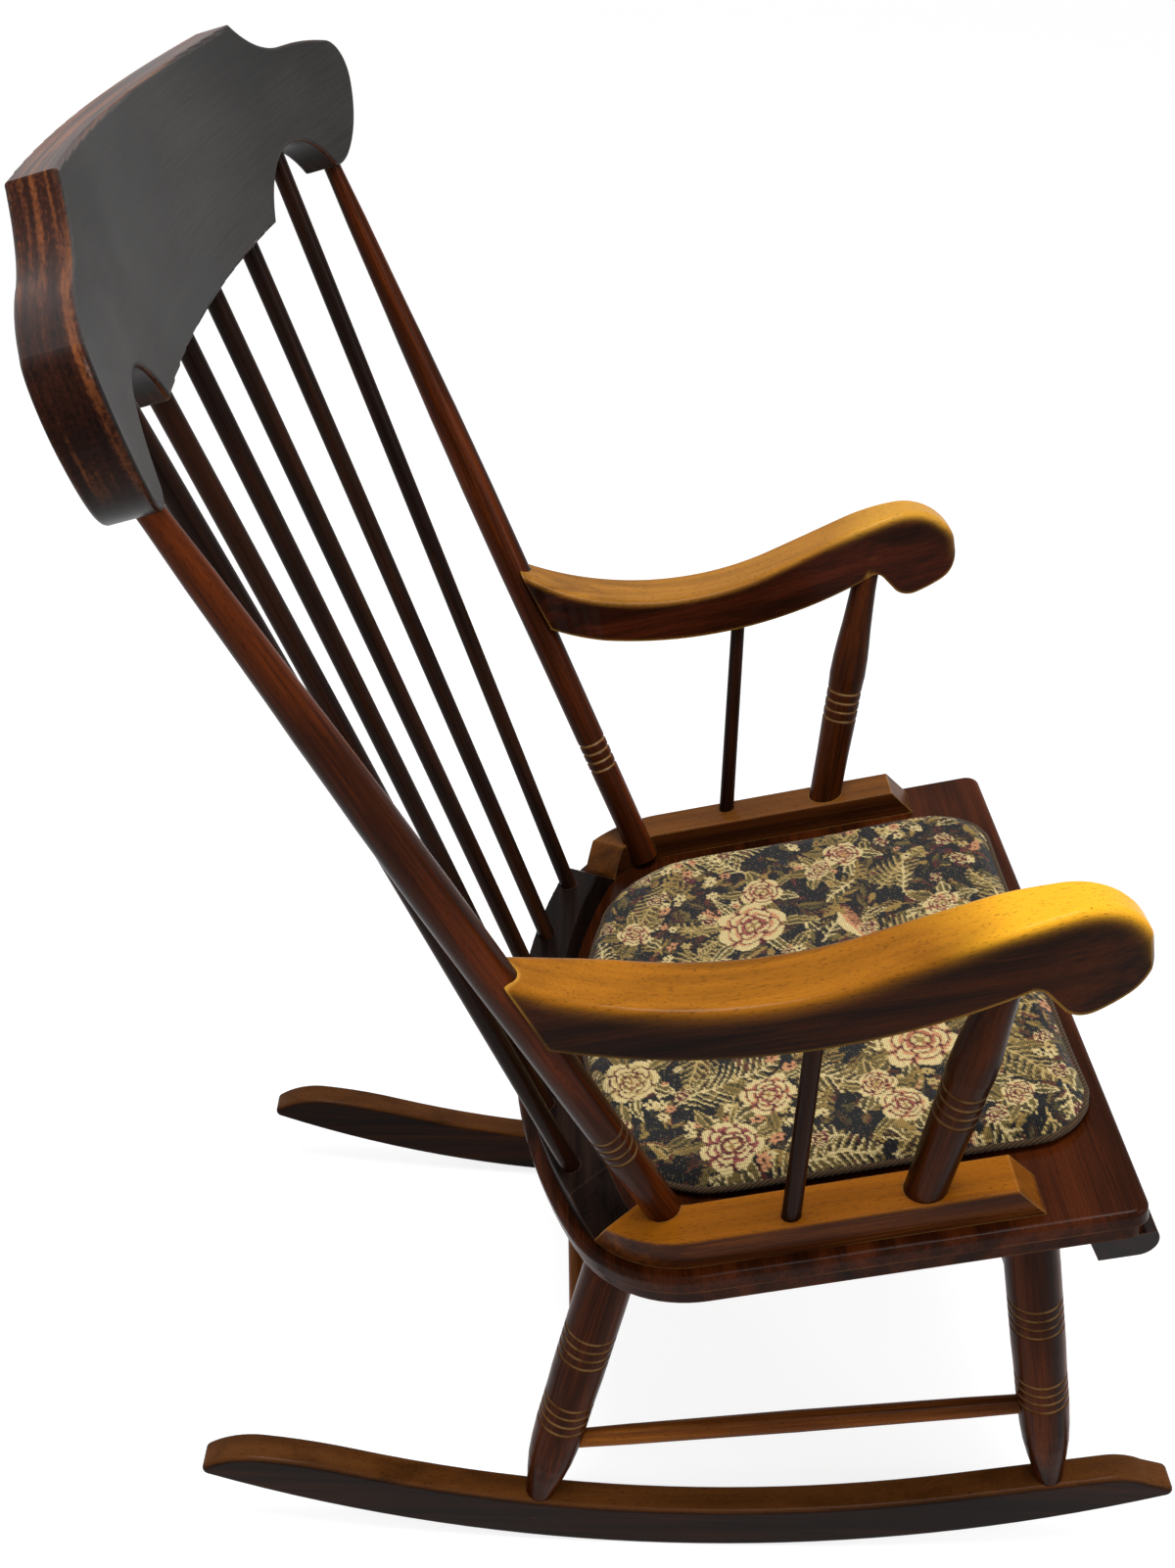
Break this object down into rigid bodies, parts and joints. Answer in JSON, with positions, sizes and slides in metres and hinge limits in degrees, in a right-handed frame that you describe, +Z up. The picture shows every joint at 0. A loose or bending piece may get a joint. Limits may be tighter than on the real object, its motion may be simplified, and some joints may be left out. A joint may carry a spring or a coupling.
{
  "type": "rocking chair",
  "caption": "Spindle-back rocking chair with a bowed crest rail, scrolled arms, turned legs on curved rockers and a loose tapestry seat cushion.",
  "frame": {"origin": "on the floor, midway between the chair's left and right and between its front and back", "axes": "+Z up, +Y towards the back of the chair, +X towards the sitter's left; the chair stands at rest"},
  "size_m": [0.7864, 0.7826, 1.0451],
  "materials": {
    "dowel_wood": "satin",
    "arm_wood": "gloss",
    "turned_wood": "gloss",
    "back_rim_wood": "satin",
    "crest_wood": "satin",
    "roll_wood": "gloss",
    "rocker_wood": "gloss",
    "seat_wood": "semi-gloss",
    "tapestry": "woven",
    "golden_wood": "semi-gloss"
  },
  "bodies": {
    "root": {"arm_dowels": "dowel_wood", "arm_left": "arm_wood", "arm_post_left": "turned_wood", "arm_post_right": "turned_wood", "arm_right": "arm_wood", "arm_spindle_left": "turned_wood", "arm_spindle_right": "turned_wood", "back_post_left": "turned_wood", "back_post_right": "turned_wood", "back_rim": "back_rim_wood", "back_spindle_1_left": "turned_wood", "back_spindle_1_right": "turned_wood", "back_spindle_2_left": "turned_wood", "back_spindle_2_right": "turned_wood", "back_spindle_3_left": "turned_wood", "back_spindle_3_right": "turned_wood", "crest_rail": "crest_wood", "front_cross_stretcher": "turned_wood", "front_leg_left": "turned_wood", "front_leg_right": "turned_wood", "front_roll": "roll_wood", "rear_cross_stretcher": "turned_wood", "rear_leg_left": "turned_wood", "rear_leg_right": "turned_wood", "rocker_left": "rocker_wood", "rocker_right": "rocker_wood", "seat_board": "seat_wood", "seat_cushion": "tapestry", "side_rim_left": "golden_wood", "side_rim_right": "golden_wood", "side_stretcher_left": "turned_wood", "side_stretcher_right": "turned_wood"}
  },
  "joints": []
}
